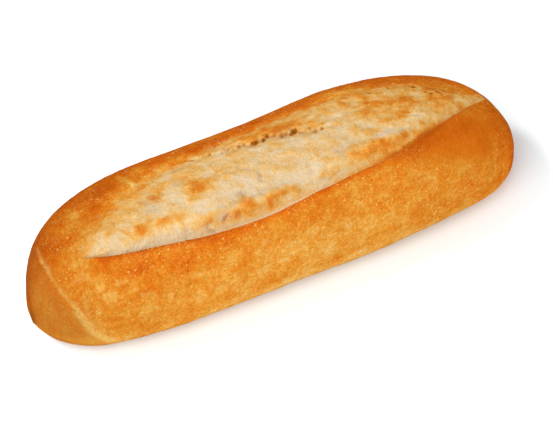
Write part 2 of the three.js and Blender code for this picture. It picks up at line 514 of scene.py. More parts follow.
# stretches of crumb that stayed white: x, y, half length, half width, strength
whiteSpots = (
    (-68.2, -5.7, 2, 1.3, 0.12),
    (-62.2, -8.9, 4, 1.4, 0.12),
    (-47.5, -6.3, 1.4, 1.8, 0.25),
    (-38.4, -9.8, 6, 2.2, 0.28),
    (-38.4, -4.7, 2.4, 3, 0.24),
    (-36.4, -1.7, 2, 3, 0.15),
    (-33.3, -12, 4, 1.6, 0.28),
    (-21.5, 4, 1.4, 1.8, 0.2),
    (-19, -7.2, 2.6, 2.4, 0.22),
    (-16.5, -20, 4.5, 0.6, 0.15),
    (-13.6, 7.3, 4, 1.2, 0.2),
    (-12.5, 3.6, 3, 1.2, 0.12),
    (-10.2, -10.8, 6, 2, 0.12),
    (2.8, -11.4, 8, 2.6, 0.1),
    (3.7, 0, 6, 1.6, 0.1),
    (13, 3.4, 1.5, 1, 0.28),
    (14.5, 7, 3, 0.8, 0.25),
    (20, 3, 1.6, 1.2, 0.28),
    (23.5, -8.8, 2.5, 1.2, 0.2),
    (28, 2, 1.8, 3, 0.22),
    (36, -9.6, 5, 0.9, 0.22),
    (39.5, -11, 1.6, 0.9, 0.25),
    (42.8, 0.5, 2, 1, 0.2),
    (44.7, 8.6, 2, 1, 0.2),
    (50, -6.9, 1.8, 1.2, 0.25),
    (58, -8.8, 2, 0.9, 0.22),
)
# hollows between the lumps, dented and painted grey as shade: x, y, half length, half width, depth
shadedHollowSpots = (
    (-55.2, -15.7, 1.6, 0.5, 0.35),
    (-47.3, -4.1, 2.2, 2.4, 0.6),
    (-40.6, -16.2, 1, 0.8, 0.4),
    (-35.2, 1.1, 2, 1, 0.45),
    (-33.1, -17.4, 0.6, 1, 1),
    (-32.9, 7.3, 3, 1, 0.4),
    (-28, 7, 1, 1, 0.45),
    (-26.8, -16.2, 1.6, 1, 1),
    (-24.5, -14.2, 2.6, 0.8, 0.4),
    (-22.6, -13.4, 3.5, 0.7, 0.5),
    (-18.6, -11.9, 1.2, 0.6, 0.9),
    (-12.3, -13.7, 3, 0.8, 0.55),
    (-10.1, -9.2, 0.6, 0.8, 0.55),
    (-9.5, -7.4, 0.4, 1.2, 0.55),
    (-7.2, -13.7, 2, 0.8, 0.6),
    (-7.2, -3.1, 1, 0.4, 0.5),
    (-0.1, -15, 1, 0.8, 0.35),
    (3.9, 4.5, 4, 1.2, 0.35),
    (12.3, -16.6, 5, 0.6, 0.4),
    (19.6, -10.4, 1.6, 1.2, 0.6),
    (23.6, -9.2, 3, 0.8, 0.35),
    (35.5, -9.2, 3, 0.8, 0.45),
    (42.5, -10, 3, 0.6, 0.55),
)
# holes where the crumb tore from the crust: x, y, radius, depth
pores = (
    (-19.4, 8.9, 0.8, 0.5),
    (-16.4, 8.7, 0.4, 0.4),
    (-15.2, 7.8, 0.45, 0.5),
    (-13.9, 8.8, 0.4, 0.4),
    (-12.9, 7.9, 0.4, 0.4),
    (-11.4, 7.5, 0.45, 0.45),
    (-10.4, 8.3, 0.4, 0.4),
    (-9.2, 7.6, 0.5, 0.45),
    (-8, 8.2, 0.5, 0.45),
    (-4.8, 6.5, 0.7, 0.9),
    (-3.5, 6.3, 0.8, 1),
    (-0.9, 5.7, 0.85, 0.9),
    (1.1, 6.6, 0.8, 0.75),
    (6, 4.9, 0.5, 0.5),
    (6.3, 4.2, 0.45, 0.4),
    (8.1, 4.2, 0.4, 0.4),
    (9.7, 3.9, 1.15, 1.05),
    (10.3, 4.7, 0.6, 0.7),
    (14.8, 2.4, 0.9, 0.42),
    (16, 1.1, 1.3, 0.46),
    (18.5, 0.8, 0.8, 0.65),
    (30.5, -5.7, 0.4, 0.4),
    (41.8, 10.7, 0.7, 0.6),
    (42, -11.2, 0.4, 0.4),
    (44.7, 9.5, 0.6, 0.5),
    (49.8, 11.5, 0.6, 0.6),
    (55, 8.1, 0.5, 0.4),
    (58.5, 9, 0.8, 1),
    (60.2, 4.3, 0.6, 0.6),
    (61.8, 3.4, 0.6, 0.6),
    (64.8, 3.6, 0.7, 0.8),
    (67.6, 4.6, 0.9, 1),
)
# short cracks in the crumb: x and y of either end, half width, depth
cracks = (
    (-60.9, -13.9, -60.4, -14.5, 0.35, 0.3),
    (-41.2, -17.4, -41.5, -18.1, 0.35, 0.3),
    (-32.8, -17.8, -31.6, -19.3, 0.35, 0.36),
    (-27.7, -17, -25.8, -15.9, 0.45, 0.42),
    (-18.6, -12.1, -17.4, -12.8, 0.4, 0.3),
    (-12.6, -13.9, -11.4, -15, 0.4, 0.24),
    (-10.6, -9.7, -8.9, -10.2, 0.35, 0.25),
    (-9.1, -7.1, -9.4, -8.5, 0.35, 0.3),
    (-7.4, -3.7, -6, -4.1, 0.4, 0.18),
)


def spotField(spots, atX, atY):
    # the strongest spot at each point
    field = np.zeros_like(atX)
    for spotX, spotY, halfLength, halfWidth, strength in spots:
        away = np.hypot((atX - spotX) / halfLength, (atY - spotY) / halfWidth)
        field = np.maximum(field, strength * bell(away, crumb["spotSpread"]))
    return field


def burstNoise(size, octaves, seed):
    # noise on the burst alone
    field = np.zeros_like(x)
    field[inBurst] = noiseField(smooth[inBurst], size, octaves, seed)
    return field


warpX = crumb["warp"] * burstNoise(crumb["warpSize"], 4, 11.3)
warpY = crumb["warp"] * burstNoise(crumb["warpSize"], 4, 27.9)
toast = spotField(toastSpots, x + warpX, y + warpY)
white = spotField(whiteSpots, x + warpX, y + warpY)
# painted shade: the hollows drawn grey
grey = spotField(shadedHollowSpots, x + warpX, y + warpY) * (1 - crumb["hollowShadeHidden"] * toast)
pore = np.zeros_like(x)
holeX = x + crumb["poreWarp"] * warpX
holeY = y + crumb["poreWarp"] * warpY
for poreX, poreY, radius, depth in pores:
    pore = np.maximum(pore, depth * bell(np.hypot(holeX - poreX, holeY - poreY), radius))
for startX, startY, endX, endY, halfWidth, depth in cracks:
    runX, runY = endX - startX, endY - startY
    along = ((x - startX) * runX + (y - startY) * runY) / (runX**2 + runY**2)
    along = np.clip(along, 0, 1)
    away = np.hypot(x - startX - along * runX, y - startY - along * runY)
    pore = np.maximum(pore, inBurst * depth * bell(away, halfWidth))

# the dark, ragged line below the flap's edge: painted shadow, full of small holes
tearShadow = {
    "offset": 0.2,
    "reach": 1.1,
    "stretch": (-25, -20, 6, 24),
    # fainter towards the near end: from x, to x, change
    "fainter": ((-6, -14, -0.45),),
    "depth": 0.55,
    "evenness": 0.7,
    "raggedSize": 1.6,
}
tornShadow = tearShadow["depth"] * bell(beyondFlap - tearShadow["offset"], tearShadow["reach"])
tornShadow *= stretch(x, *tearShadow["stretch"]) * (1 + steps(x, tearShadow["fainter"]))
tornShadow *= tearShadow["evenness"] + burstNoise(tearShadow["raggedSize"], 3, 31.3)
pore = np.maximum(pore, tornShadow)

lumps = burstNoise(crumb["lumpSize"], 3, 4.1)
grain = burstNoise(crumb["grainSize"], 3, 9.6)

seam = {
    "x": -84.3,
    # how it leans along the roll: turn where that starts, turns it takes, power, length
    "leans": ((30, 69, 1.5, 9.5), (0, -32, 2, 1.4)),
    # turns where it starts, where it is full from and to, and where it ends
    "turns": (-34, -22, 114, 126),
    "halfWidth": 0.8,
    "widerBelow": ((50, 85, 1.2),),
    "widerOnTop": ((8, 12, 0.4),),
    "depth": 0.25,
    "wobble": 0.7,
    "wobbleSize": 6.0,
}
seamX = np.full_like(x, seam["x"])
for start, span, power, length in seam["leans"]:
    seamX += length * np.maximum((turnDegrees - start) / span, 0) ** power
# distances are measured on the surface, which turns away from the roll's axis at the end
alongSurface = np.sqrt(np.maximum(1 - outward[:, 0] ** 2, 0.02))
fromSeam = (x - seamX) / alongSurface
fromSeam += seam["wobble"] * noiseField(smooth, seam["wobbleSize"], 4, 5.5)
seamWidth = seam["halfWidth"] + steps(turnDegrees, seam["widerBelow"])
seamWidth += bells(turnDegrees, seam["widerOnTop"])
seamLine = stretch(turnDegrees, *seam["turns"]) * bell(fromSeam, seamWidth)

crustSkin = {"swellSize": (8, 6, 6), "swellHeight": 0.13, "puckerSize": 2.2, "puckerHeight": 0.05}
swell = noiseField(smooth, crustSkin["swellSize"], 2, 1.9)
pucker = noiseField(smooth, crustSkin["puckerSize"], 2, 6.4)

crumbRelief = crumb["lumpHeight"] * lumps + crumb["grainHeight"] * grain
crumbRelief += crumb["toastHeight"] * toast - crumb["greyDepth"] * grey
crumbRelief *= smoothStep(fromRim, 0, crumb["rimFade"]) * smoothStep(fromLip, 0, crumb["lipFade"])
crumbRelief = opening * (crumbRelief - crumb["poreDepth"] * pore)
skinRelief = crustSkin["swellHeight"] * swell + crustSkin["puckerHeight"] * pucker
skinRelief -= seam["depth"] * seamLine
fine = np.where(inBurst, crumbRelief, skinRelief)
fine[atPole] = 0
raised += outward * fine[:, None]

# flat base, then the whole roll put down with the middle of its base at the origin
raised[:, 2] = np.maximum(raised[:, 2], body["baseCut"])
writePoints((raised + shift) * mm)
for polygon in mesh.polygons:
    polygon.use_smooth = True
print("slash torn open")


def addAttribute(name, values):
    attribute = mesh.attributes.new(name, "FLOAT", "POINT")
    attribute.data.foreach_set("value", np.clip(values, 0, 1).astype(np.float32))


# crumb shows from the lip to the rim, where it runs out in patches under the crust
runOut = {
    "patchSize": (4.5, 2.6, 2.6),
    "patchiness": 0.95,
    "farthest": 8.0,
    # how wide a strip it runs out in, and where wider: x, half length, more
    "width": 2.8,
    "wider": ((-52, 20, 1.6), (-57, 10, 2.4)),
    "narrowest": 0.3,
    # how far past the rim it shows, and where farther
    "past": 0.4,
    "farther": ((52, 8, 1.3), (-54, 11, 2.4), (-53, 5, 1)),
    # from hidden to bare: by the patches, by the width of the gap, and by x at the near tip
    "shows": (0.05, 0.8),
    "gap": (0.2, 1.5),
    "tip": (-75.5, -72),
}
behind = ~inBurst & (crustShare > 0.5)
nearRim = inBurst | (behind & (fromRim < runOut["farthest"]))
edgeNoise = np.zeros_like(x)
edgeNoise[nearRim] = noiseField(smooth[nearRim], runOut["patchSize"], 5, 14.4)
gap = rimLine - lipLine
edgeWidth = runOut["width"] + bells(x, runOut["wider"])
softEdge = edgeWidth * smoothStep(gap, 0, slash["fullOpening"]) + runOut["narrowest"]
inward = np.where(inBurst, fromRim, -fromRim) + runOut["past"] + bells(x, runOut["farther"])
showing = smoothStep(inward / softEdge + runOut["patchiness"] * edgeNoise, *runOut["shows"])
crumbMask = np.where(nearRim, showing * smoothStep(gap, *runOut["gap"]), 0.0)
crumbMask *= smoothStep(x, *runOut["tip"])

# how golden the crumb baked: 0 white, 0.5 golden, 1 brown
gold = {
    # even part and patchy part
    "rim": (0.5, 0.2),
    "flap": (0.5, 0.25),
    "rimReach": 5.0,
    "rimWider": ((-52, 20, 2.5),),
    "lip": 0.82,
    "lipReach": 4.0,
    # the lip is golden from one x to the other, then less, and has a gap
    "lipFrom": (5, 25),
    "lipLess": ((54, 64, -0.5),),
    "lipGap": ((26, 9, -0.45),),
    # everywhere: the least, what the rim side has more, its power, and more from x to x
    "least": 0.1,
    "rimMore": 0.3,
    "rimPower": 1.3,
    "farMore": ((15, 45, 0.6),),
    "lumps": 0.14,
    "lumpFade": 2.5,
    # strips beside the lip and the rim: away from it, reach, from x, to x, amount
    "lipStrip": (1.5, 3, -22, -45, -0.14),
    "rimStrip": (3, 4.5, -40, -50, 0.14),
    # spots beside the lip: x, away from it, half length, reach, amount
    "lipSpots": ((-65, 1.5, 5, 2, -0.08),),
    # round the holes: from depth, to depth, amount
    "pore": ((0.2, 0.6, 0.65),),
}
# the pale foot of the lip, lifted with painted light against the groove's shade, and the painted
# shadow of the gap beside its far part, browned as well
lipFootLift = {"away": 0.9, "reach": 1.3, "stretch": (-50, -38, -4, 8), "gold": -0.04, "tone": 0.09}
farGapShadow = {"away": 0.4, "reach": 0.8, "middle": 43.0, "length": 10.0, "gold": 0.3, "tone": -0.2}


def besideEdge(fromEdge, away, reach, fromX, toX, amount):
    # a strip beside the lip or the rim that comes in from one x to the other
    return amount * bell(fromEdge - away, reach) * smoothStep(x, fromX, toX)


rimEven, rimPatchy = gold["rim"]
rimGold = rimEven + rimPatchy * edgeNoise
rimGold *= bell(fromRim, gold["rimReach"] + bells(x, gold["rimWider"]))
flapEven, flapPatchy = gold["flap"]
flapGold = (flapEven + flapPatchy * edgeNoise) * flapFade * onFlap
lipGold = gold["lip"] * bell(fromLip, gold["lipReach"]) * smoothStep(x, *gold["lipFrom"])
lipGold *= (1 + steps(x, gold["lipLess"])) * (1 + bells(x, gold["lipGap"]))
evenGold = gold["least"] + gold["rimMore"] * (1 - crossing) ** gold["rimPower"]
evenGold *= 1 + steps(x, gold["farMore"])
toastAll = np.maximum.reduce([toast, rimGold, flapGold, lipGold, evenGold])
toastAll += gold["lumps"] * lumps * smoothStep(fromRim, 0, gold["lumpFade"]) - white
toastAll += besideEdge(fromLip, *gold["lipStrip"]) + besideEdge(fromRim, *gold["rimStrip"])
toastAll += spotSum(gold["lipSpots"], x, fromLip)
# painted light: the foot of the lip drawn brighter, its crumb a little paler
paleLitFoot = bell(fromLip - lipFootLift["away"], lipFootLift["reach"]) * stretch(x, *lipFootLift["stretch"])
# painted shadow: the gap beside the lip's far part drawn darker and browner
gapShadow = inBurst * bell(fromLip - farGapShadow["away"], farGapShadow["reach"])
gapShadow *= bell(x - farGapShadow["middle"], farGapShadow["length"])
toastAll += lipFootLift["gold"] * paleLitFoot + farGapShadow["gold"] * gapShadow
toastAll = np.maximum(toastAll, steps(pore, gold["pore"]))

# darker and paler places of the crust: x, turn, half length, half turn, strength
bakeSpots = (
    (-82, -10, 7, 25, 0.3),
    (-79, 66, 2.6, 5, 0.12),
    (-77, 28, 4, 9, -0.25),
    (-75.5, 38, 5, 4, 0.12),
    (-74, -10, 2, 6, -0.35),
    (-72, 42, 7, 9, -0.15),
    (-71, 12, 3.5, 7, -0.3),
    (-69.8, -18, 1.8, 10, -0.5),
    (-69, 33, 5, 6, 0.3),
    (-64, 58, 2.5, 2.5, -0.15),
    (-63, -20, 10, 14, 0.2),
    (-63, -5, 4.5, 7, 0.3),
    (-62, 44, 10, 7, 0.3),
    (-59, 66, 2, 4, 0.1),
    (-57, -24, 3, 5, 0.3),
    (-54, -12, 4.5, 7, 0.3),
    (-52, 60, 14, 7, 0.12),
    (-49.4, -29, 1, 7, -0.4),
    (-47.8, -18, 1, 7, -0.4),
    (-45, 53, 3.5, 5, 0.25),
    (-44.5, 61.5, 5, 4, -0.2),
    (-43, -30, 3, 5, -0.25),
    (-43, 46.5, 3, 3, -0.2),
    (-36.5, 58, 1.5, 9, -0.12),
    (-36, 47, 20, 4.5, 0.3),
    (-33, 88.5, 3, 4, 0.1),
    (-30, -25, 25, 8, 0.2),
    (-30, -24, 4, 4, -0.3),
    (-25.5, 91, 3, 4, 0.15),
    (-24, 77.5, 2.5, 5, 0.25),
    (-21, 45.5, 5, 3, 0.1),
    (-15, -28, 7, 5, 0.25),
    (-11.5, 91.5, 3, 4, 0.18),
    (-2, 52, 9, 6, 0.12),
    (3, -30, 8, 5, 0.3),
    (5, -70, 22, 9, 0.15),
    (12, 66, 2, 3, 0.12),
    (12.5, 93.5, 8, 5, 0.14),
    (20, -34, 6, 5, 0.2),
    (25.5, 49, 3, 5, 0.18),
    (32, -28, 5, 10, -0.3),
    (37, 86, 4.5, 6, 0.2),
    (39, 63.5, 2, 2.5, 0.15),
    (44.5, 37, 5, 5, 0.3),
    (50.5, 50.5, 5, 5, -0.18),
    (55, 78, 4, 4, 0.1),
    (58, -35, 14, 20, 0.08),
    (60, 33, 20, 13, 0.36),
    (66, 48, 9, 8, 0.15),
    (68, 26, 3, 6, 0.15),
    (68, 42, 3, 5, -0.12),
    (74, 66, 3, 5, 0.1),
    (86, 75, 8, 25, 0.15),
)
# thin pale patches where the skin blistered: x, turn, half length, half turn, strength
palePatches = (
    (-78.5, 64, 0.9, 7, 0.35),
    (-77, 38, 3, 3, 0.3),
    (-75, 68, 1, 3, 0.6),
    (-73, 49, 1.2, 3, 0.6),
    (-71, 57.5, 1.9, 4.5, 0.6),
    (-66.5, 50, 2.6, 1.6, 0.5),
    (-59, 63, 2.4, 1.2, 0.4),
    (-52, 70.5, 1.2, 2.5, 0.7),
    (-20, 62, 1, 1.6, 0.4),
    (-16.5, 58, 1.4, 2, 0.4),
    (35, 82, 1.2, 1.5, 0.5),
)
# how dark the crust baked: 0 pale gold, 0.5 orange, 1 brown
baking = {
    "middle": 0.52,
    "swell": 0.14,
    # from x to x and from turn to turn: where it comes in, is full, and how much darker
    "along": ((-74, -90, 0.12), (70, 90, 0.36), (20, 50, 0.03)),
    "around": ((-10, -40, 0.34), (-55, -85, -0.2)),
    # golden stretches beside the rim: x, half length, strength
    "goldStretches": ((-53, 9, 0.9), (-36, 10, 0.6), (34, 9, 0.7)),
    "gold": 0.34,
    "goldPatchy": 0.5,
    "goldReach": 3.6,
    # a pale spot by the rim: x, away from the rim, half length, reach, strength
    "rimSpots": ((-53.5, 1, 5, 3.5, -0.32),),
    # the belly is paler: its turns, its x, and less from x to x
    "belly": ((80, 26, -0.2),),
    "bellyLength": ((5, 75, 1),),
    "bellyLess": ((25, 60, -0.5),),
    "underside": ((92, 110, -0.3),),
    # the side turned away: its turns, and how it changes in the middle
    "backTurns": (5, -25),
    "backMiddle": ((-1, 22, -0.08),),
    # the lip's edge, and the painted shadow on the skin just under it, drawn browner and, through
    # the tone, darker
    "edge": 0.42,
    "edgeReach": 1.3,
    "edgeAlong": (60, 10),
    "underLipShadow": 0.3,
    "underLipAway": 0.4,
    "underLipReach": 1.1,
    "underLipStretches": ((-38, 14, 1), (50, 10, 1)),
}
backSide = smoothStep(turnDegrees, *baking["backTurns"])
bake = baking["middle"] + baking["swell"] * swell
bake += steps(x, baking["along"]) + steps(turnDegrees, baking["around"])
rimPale = baking["gold"] + baking["goldPatchy"] * edgeNoise
rimPale *= bells(x, baking["goldStretches"]) * bell(fromRim, baking["goldReach"])
bake += opening * (spotSum(baking["rimSpots"], x, fromRim) - rimPale)
bellyHere = bells(turnDegrees, baking["belly"]) * (1 + steps(x, baking["bellyLess"]))
bellyHere += steps(turnDegrees, baking["underside"])
bake += bellyHere * bells(x, baking["bellyLength"])
bake += backSide * bells(x, baking["backMiddle"])
bake += spotSum(bakeSpots, x, turnDegrees)
lipEdge = bell(fromLip, baking["edgeReach"]) * smoothStep(x, *baking["edgeAlong"])
# painted shadow: the crust just under the lip
underLipShadow = ~inBurst * bell(fromLip - baking["underLipAway"], baking["underLipReach"]) * opening
underLipShadow *= bells(x, baking["underLipStretches"])
bake += baking["edge"] * lipEdge * opening + baking["underLipShadow"] * underLipShadow

paling = {
    "seam": 0.6,
    "seamPatchy": 0.5,
    "seamPatchSize": 3.0,
    "seamBelow": ((45, 75, 0.6),),
    # a thin veil beyond the seam, from and to a distance past it
    "beyondSeam": ((-0.5, -3, 0.1),),
    "raggedSize": 1.5,
    "ragged": 0.45,
    "patchFade": (1.15, 0.9),
}
seamPatchy = paling["seamPatchy"] * noiseField(smooth, paling["seamPatchSize"], 2, 7.7)
pale = seamLine * (paling["seam"] + steps(turnDegrees, paling["seamBelow"]) + seamPatchy)
pale = np.maximum(pale, steps(fromSeam, paling["beyondSeam"]))
ragged = paling["ragged"] * noiseField(smooth, paling["raggedSize"], 3, 3.1)
for spotX, spotTurn, halfLength, halfTurn, strength in palePatches:
    away = np.hypot((x - spotX) / halfLength, (turnDegrees - spotTurn) / halfTurn)
    pale = np.maximum(pale, strength * smoothStep(away - ragged, *paling["patchFade"]))

# how bright the surface is drawn, with painted light and shade: the near end dull against the
# strong key light on it, the far end and above all its back bright where the lamps leave them dim
toneAndPaintedLight = {
    # the highest value, so that the attribute stays within 1
    "most": 1.8,
    # the two halves of the roll: from x, to x, amount
    "nearHalf": ((-35, -80, -0.2), (-70, -88, -0.16)),
    "farHalf": ((5, 40, 0.04), (45, 88, 0.2), (70, 84, 0.22), (70, 78, 0.03), (74, 80, 0.04)),
    # painted light: the side turned away from the camera drawn brighter
    "back": 0.1,
    "backMiddle": ((-1, 22, 0.04),),
    "backFrom": (-60, -35),
    # a stretch of the back darkened with painted shade: x, half length, amount, and its turns
    "backDull": ((-2, 48, -0.14),),
    "backDullTurns": (-38, -50, -60, -80),
    # painted light: the underside drawn brighter
    "underside": ((92, 110, 0.07),),
    "beyondSeam": ((-0.3, -2, -0.05),),
    # the top of the near end
    "nearTop": ((-55, -65, -0.03),),
    "nearTopTurns": (20, -10),
    # the far end's side towards +Y
    "farBack": ((62, 72, 0.06), (68, 74, 0.04)),
    "farBackFrom": (0, 4),
    # crumb at the far tip and in a stretch away from the rim, brightened with painted light where
    # it faces away from the lamps, and on the ridge
    "farTip": ((76, 7, 0.4),),
    "ridge": 0.06,
    "farCrumb": 0.08,
    "farCrumbStretch": (26, 42, 60, 68),
    "farCrumbFade": 3.0,
    # painted shade: the hollows drawn darker
    "grey": -0.1,
    # painted shadow under the lip
    "underLipShadow": -0.15,
    # spots of the crust: x, turn, half length, half turn, amount
    "crustSpots": (
        (-70, 35, 6, 10, -0.05),
        (-46, -35, 7, 12, -0.04),
        (3, -38, 26, 8, -0.08),
        (44.5, 38, 6, 6, -0.05),
        (50, -35, 14, 12, 0.05),
    ),
    # spots of the crumb: x, y, half length, half width, amount
    "crumbSpots": ((-23, -12, 5, 5, -0.07), (0, -11, 32, 6, -0.02), (4, -12, 9, 6, -0.035)),
    # spots beside the lip and the rim: x, away from it, half length, reach, amount; the one by the
    # lip is painted light against the groove's shade
    "lipSpots": ((-64, 1, 9, 2.2, 0.14),),
    "rimSpots": ((-56, 1, 9, 4, 0.06),),
}
tone = 1 + steps(x, toneAndPaintedLight["nearHalf"]) + steps(x, toneAndPaintedLight["farHalf"])
backPaintedLight = toneAndPaintedLight["back"] + bells(x, toneAndPaintedLight["backMiddle"])
tone += backPaintedLight * backSide * smoothStep(x, *toneAndPaintedLight["backFrom"])
shadedBackTurns = stretch(turnDegrees, *toneAndPaintedLight["backDullTurns"])
tone += shadedBackTurns * bells(x, toneAndPaintedLight["backDull"])
tone += steps(turnDegrees, toneAndPaintedLight["underside"]) + steps(fromSeam, toneAndPaintedLight["beyondSeam"])
tone += steps(x, toneAndPaintedLight["nearTop"]) * smoothStep(turnDegrees, *toneAndPaintedLight["nearTopTurns"])
tone += steps(x, toneAndPaintedLight["farBack"]) * smoothStep(y, *toneAndPaintedLight["farBackFrom"])
tone += spotSum(toneAndPaintedLight["crustSpots"], x, turnDegrees)
tone += opening * spotSum(toneAndPaintedLight["rimSpots"], x, fromRim)
crumbPaintedLight = bells(x, toneAndPaintedLight["farTip"]) + toneAndPaintedLight["ridge"] * ridgeHere
crumbPaintedLight += spotSum(toneAndPaintedLight["lipSpots"], x, fromLip)
tone += inBurst * opening * crumbPaintedLight
farCrumb = stretch(x, *toneAndPaintedLight["farCrumbStretch"])
farCrumb *= smoothStep(fromRim, 0, toneAndPaintedLight["farCrumbFade"])
tone += inBurst * toneAndPaintedLight["farCrumb"] * farCrumb
tone += inBurst * spotSum(toneAndPaintedLight["crumbSpots"], x, y)
tone += toneAndPaintedLight["grey"] * grey + toneAndPaintedLight["underLipShadow"] * underLipShadow
tone += lipFootLift["tone"] * paleLitFoot + farGapShadow["tone"] * gapShadow
tone /= toneAndPaintedLight["most"]

# the skin is smooth where it baked darkest, at the far end, and beyond the seam
smoothSkin = {"spots": ((62, 36, 17, 17, 1.2),), "beyondSeam": ((-0.5, -2.5, 0.5),), "most": 0.85}
plain = spotSum(smoothSkin["spots"], x, turnDegrees) + steps(fromSeam, smoothSkin["beyondSeam"])
plain = np.clip(plain, 0, smoothSkin["most"])

# fine strands of crumb stretch away from the lip, mostly at the near end, with painted shade
# between them
strand = {"reach": 7.0, "width": 0.5, "length": 6.0, "fewer": ((-45, -12, -0.9),)}

addAttribute("crumbMask", crumbMask)
addAttribute("toast", toastAll)
addAttribute("grey", grey)
addAttribute("nearLip", 1 - fromLip / strand["reach"])
addAttribute("stringy", 1 + steps(x, strand["fewer"]))
addAttribute("pore", pore)
addAttribute("bake", bake)
addAttribute("tone", tone)
addAttribute("pale", pale)
addAttribute("texture", 1 - plain)
print("baking marked")


crust = bpy.data.materials.new("crustAndCrumb")
crust.use_nodes = True
nodes, links = crust.node_tree.nodes, crust.node_tree.links
shader = nodes["Principled BSDF"]


def addNode(kind, inputs, output, **settings):
    # a node with its inputs set or linked; gives back the named output
    node = nodes.new("ShaderNode" + kind)
    for key, value in settings.items():
        setattr(node, key, value)
    for key, value in inputs.items():
        if isinstance(value, bpy.types.NodeSocket):
            links.new(value, node.inputs[key])
        else:
            node.inputs[key].default_value = value
    return node.outputs[output]


def attribute(name):
    return addNode("Attribute", {}, "Fac", attribute_name=name)


def mathNode(operation):
    # gives back a function of two values
    def make(first, second):
        return addNode("Math", {0: first, 1: second}, 0, operation=operation)

    return make


multiply = mathNode("MULTIPLY")
divide = mathNode("DIVIDE")
add = mathNode("ADD")
subtract = mathNode("SUBTRACT")
larger = mathNode("MAXIMUM")
lessThan = mathNode("LESS_THAN")


def noiseAt(sizeMm, detail, roughness=0.5, distortion=0.0):
    # noise of 0 to 1 with features of about the given size
    inputs = {"Vector": place, "Scale": 1 / (sizeMm * mm), "Detail": detail}
    inputs.update({"Roughness": roughness, "Distortion": distortion})
    return addNode("TexNoise", inputs, "Fac")


def between(value, low, high, toLow=0.0, toHigh=1.0):
    # eases from one amount to the other while the value goes from low to high
    inputs = {"Value": value, "From Min": low, "From Max": high, "To Min": toLow, "To Max": toHigh}
    return addNode("MapRange", inputs, "Result", interpolation_type="SMOOTHSTEP")


def blend(factor, first, second):
    # inputs 0, 6 and 7 of a mix are its factor and two colours, and output 2 is a colour
    return addNode("Mix", {0: factor, 6: first, 7: second}, 2, data_type="RGBA")


def ramp(value, stops):
    node = nodes.new("ShaderNodeValToRGB")
    elements = node.color_ramp.elements
    while len(elements) > 1:
        elements.remove(elements[-1])
    for index, (position, colour) in enumerate(stops):
        element = elements[0] if index == 0 else elements.new(position)
        element.position = position
        element.color = colour
    links.new(value, node.inputs["Fac"])
    return node.outputs["Color"]


def summed(start, parts):
    # start plus each (value, amount), the value taken around its middle of one half
    total = start
    for value, amount in parts:
        total = addNode("Math", {0: value, 1: amount, 2: total}, 0, operation="MULTIPLY_ADD")
        total = subtract(total, amount / 2)
    return total


place = addNode("TexCoord", {}, "Object")
crumbShows = attribute("crumbMask")
texture = attribute("texture")

# the crust: sizes are in millimetres, and ranges are from, to, amount at from, amount at to
skin = {
    # how far baked, and the colour there
    "colours": (
        (0.0, (0.55, 0.33, 0.1, 1)),
        (0.28, (0.51, 0.218, 0.028, 1)),
        (0.55, (0.475, 0.143, 0.009, 1)),
        (0.8, (0.455, 0.1, 0.004, 1)),
        (1.0, (0.4, 0.073, 0.003, 1)),
    ),
    "paleColour": (0.57, 0.34, 0.085, 1),
    "mottleSize": 5.5,
    "patchSize": 1.9,
    "fleckSize": 0.7,
    # how much each marking changes the baking, less of the mottle on smooth skin
    "mottleAmount": (0.1, 1, 0.25, 0.75),
    "patchAmount": 0.82,
    "fleckAmount": 0.55,
    # pale blisters: one to a cell, and only in some of the cells
    "blisterSpacing": 1.35,
    "blisterReach": (0, 1, 0.12, 0.46),
    "blisterSoftness": 0.36,
    "blisterWanderSize": 0.6,
    "blisterWander": 0.6,
    "blisterStrength": 0.68,
    "crowdSize": 8.0,
    "crowdShare": (0.4, 0.62, 0.1, 0.95),
    # pale specks between them
    "speckSize": 0.6,
    "speckStrength": (0.52, 0.7, 0, 0.5),
    "speckShare": (0.34, 0.6, 0.15, 1),
    # how the patches break up the pale places
    "paleShare": (0.3, 0.6, 0.35, 0.95),
}
mottle = noiseAt(skin["mottleSize"], 3, 0.55)
patch = noiseAt(skin["patchSize"], 3, 0.6)
fleck = noiseAt(skin["fleckSize"], 2, 0.6)
bakeParts = ((patch, skin["patchAmount"]), (fleck, skin["fleckAmount"]))
bakeLevel = add(attribute("bake"), multiply(summed(0.0, bakeParts), texture))
mottleAmount = between(texture, *skin["mottleAmount"])
bakeLevel = add(bakeLevel, multiply(subtract(mottle, 0.5), mottleAmount))
crustColour = ramp(bakeLevel, skin["colours"])

cellInputs = {"Vector": place, "Scale": 1 / (skin["blisterSpacing"] * mm)}
cellDistance = addNode("TexVoronoi", cellInputs, "Distance")
cellRandom = addNode("SeparateColor", {"Color": cellDistance.node.outputs["Color"]}, "Red")
cellSize = cellRandom.node.outputs["Green"]
blisterDot = subtract(between(cellSize, *skin["blisterReach"]), cellDistance)
wander = noiseAt(skin["blisterWanderSize"], 1, 0.5)
blisterDot = summed(blisterDot, ((wander, skin["blisterWander"]),))
blisterDot = between(blisterDot, 0.0, skin["blisterSoftness"])
crowd = noiseAt(skin["crowdSize"], 3, 0.6)
blisterPick = lessThan(cellRandom, between(crowd, *skin["crowdShare"]))
blister = multiply(multiply(blisterDot, blisterPick), texture)
speck = between(noiseAt(skin["speckSize"], 2, 0.65), *skin["speckStrength"])
speck = multiply(speck, between(crowd, *skin["speckShare"]))
speck = multiply(speck, texture)
paleDots = larger(multiply(blister, skin["blisterStrength"]), speck)
crustColour = blend(paleDots, crustColour, skin["paleColour"])
palePlaces = multiply(attribute("pale"), between(patch, *skin["paleShare"]))
crustColour = blend(palePlaces, crustColour, skin["paleColour"])

